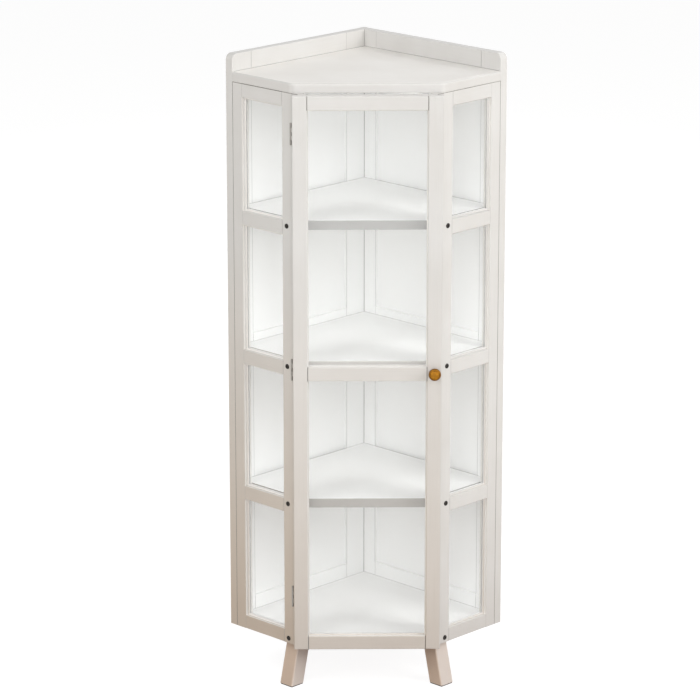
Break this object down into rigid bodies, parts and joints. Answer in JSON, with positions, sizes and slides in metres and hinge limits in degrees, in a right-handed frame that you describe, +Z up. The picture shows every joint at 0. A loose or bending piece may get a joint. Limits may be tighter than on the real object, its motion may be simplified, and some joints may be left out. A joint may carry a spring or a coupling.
{
  "type": "corner display cabinet",
  "caption": "Tall corner cabinet with framed back walls meeting at a right angle, glazed side frames, a glazed front door, shelves and splayed legs.",
  "frame": {"origin": "centre of the bounding box on the floor, under the feet", "axes": "+Z up, -Y is the front with the door, +X is to the right seen from the front"},
  "size_m": [0.6352, 0.519, 1.472],
  "materials": {
    "painted_wood": "satin warm white paint on wood",
    "clear_glass": "clear",
    "aged_brass": "aged satin",
    "zinc_steel": "zinc plated",
    "dark_bolt_steel": "dark plated",
    "white_plastic": "moulded",
    "dark_felt": "pressed felt",
    "bare_dowel": "bare turned wood"
  },
  "bodies": {
    "carcass": {"wall_left_corner_stile": "painted_wood", "wall_left_outer_stile": "painted_wood", "wall_left_top_rail": "painted_wood", "wall_left_middle_rail": "painted_wood", "wall_left_bottom_rail": "painted_wood", "wall_left_upper_panel": "painted_wood", "wall_left_lower_panel": "painted_wood", "wall_right_corner_stile": "painted_wood", "wall_right_outer_stile": "painted_wood", "wall_right_top_rail": "painted_wood", "wall_right_middle_rail": "painted_wood", "wall_right_bottom_rail": "painted_wood", "wall_right_upper_panel": "painted_wood", "wall_right_lower_panel": "painted_wood", "side_left_rear_stile": "painted_wood", "side_left_front_stile": "painted_wood", "side_left_top_rail": "painted_wood", "side_left_upper_rail": "painted_wood", "side_left_middle_rail": "painted_wood", "side_left_lower_rail": "painted_wood", "side_left_bottom_rail": "painted_wood", "side_right_rear_stile": "painted_wood", "side_right_front_stile": "painted_wood", "side_right_top_rail": "painted_wood", "side_right_upper_rail": "painted_wood", "side_right_middle_rail": "painted_wood", "side_right_lower_rail": "painted_wood", "side_right_bottom_rail": "painted_wood", "top_board": "painted_wood", "upper_shelf": "painted_wood", "middle_shelf": "painted_wood", "lower_shelf": "painted_wood", "bottom_board": "painted_wood", "front_left_leg": "painted_wood", "front_right_leg": "painted_wood", "rear_leg": "painted_wood", "side_left_panes": "clear_glass", "side_right_panes": "clear_glass", "hinge_frame_leaves": "zinc_steel", "hinge_frame_screws": "zinc_steel", "leg_plates": "zinc_steel", "leg_bolts": "zinc_steel", "wall_screws": "zinc_steel", "hinge_pins": "zinc_steel", "side_bolts": "dark_bolt_steel", "catch_body": "white_plastic", "foot_glides": "dark_felt", "top_dowels": "bare_dowel"},
    "door": {"door_hinge_stile": "painted_wood", "door_knob_stile": "painted_wood", "door_top_rail": "painted_wood", "door_middle_rail": "painted_wood", "door_bottom_rail": "painted_wood", "door_upper_glass": "clear_glass", "door_lower_glass": "clear_glass", "door_knob": "aged_brass", "knob_screw": "zinc_steel", "hinge_door_leaves": "zinc_steel", "hinge_door_screws": "zinc_steel", "catch_plate": "zinc_steel"}
  },
  "joints": [
    {"name": "door_swing", "type": "hinge", "parent": "carcass", "child": "door", "pos_m": [-0.17117, -0.20885, 0.759], "axis": [0, 0, -1], "range_deg": [0, 135]}
  ]
}
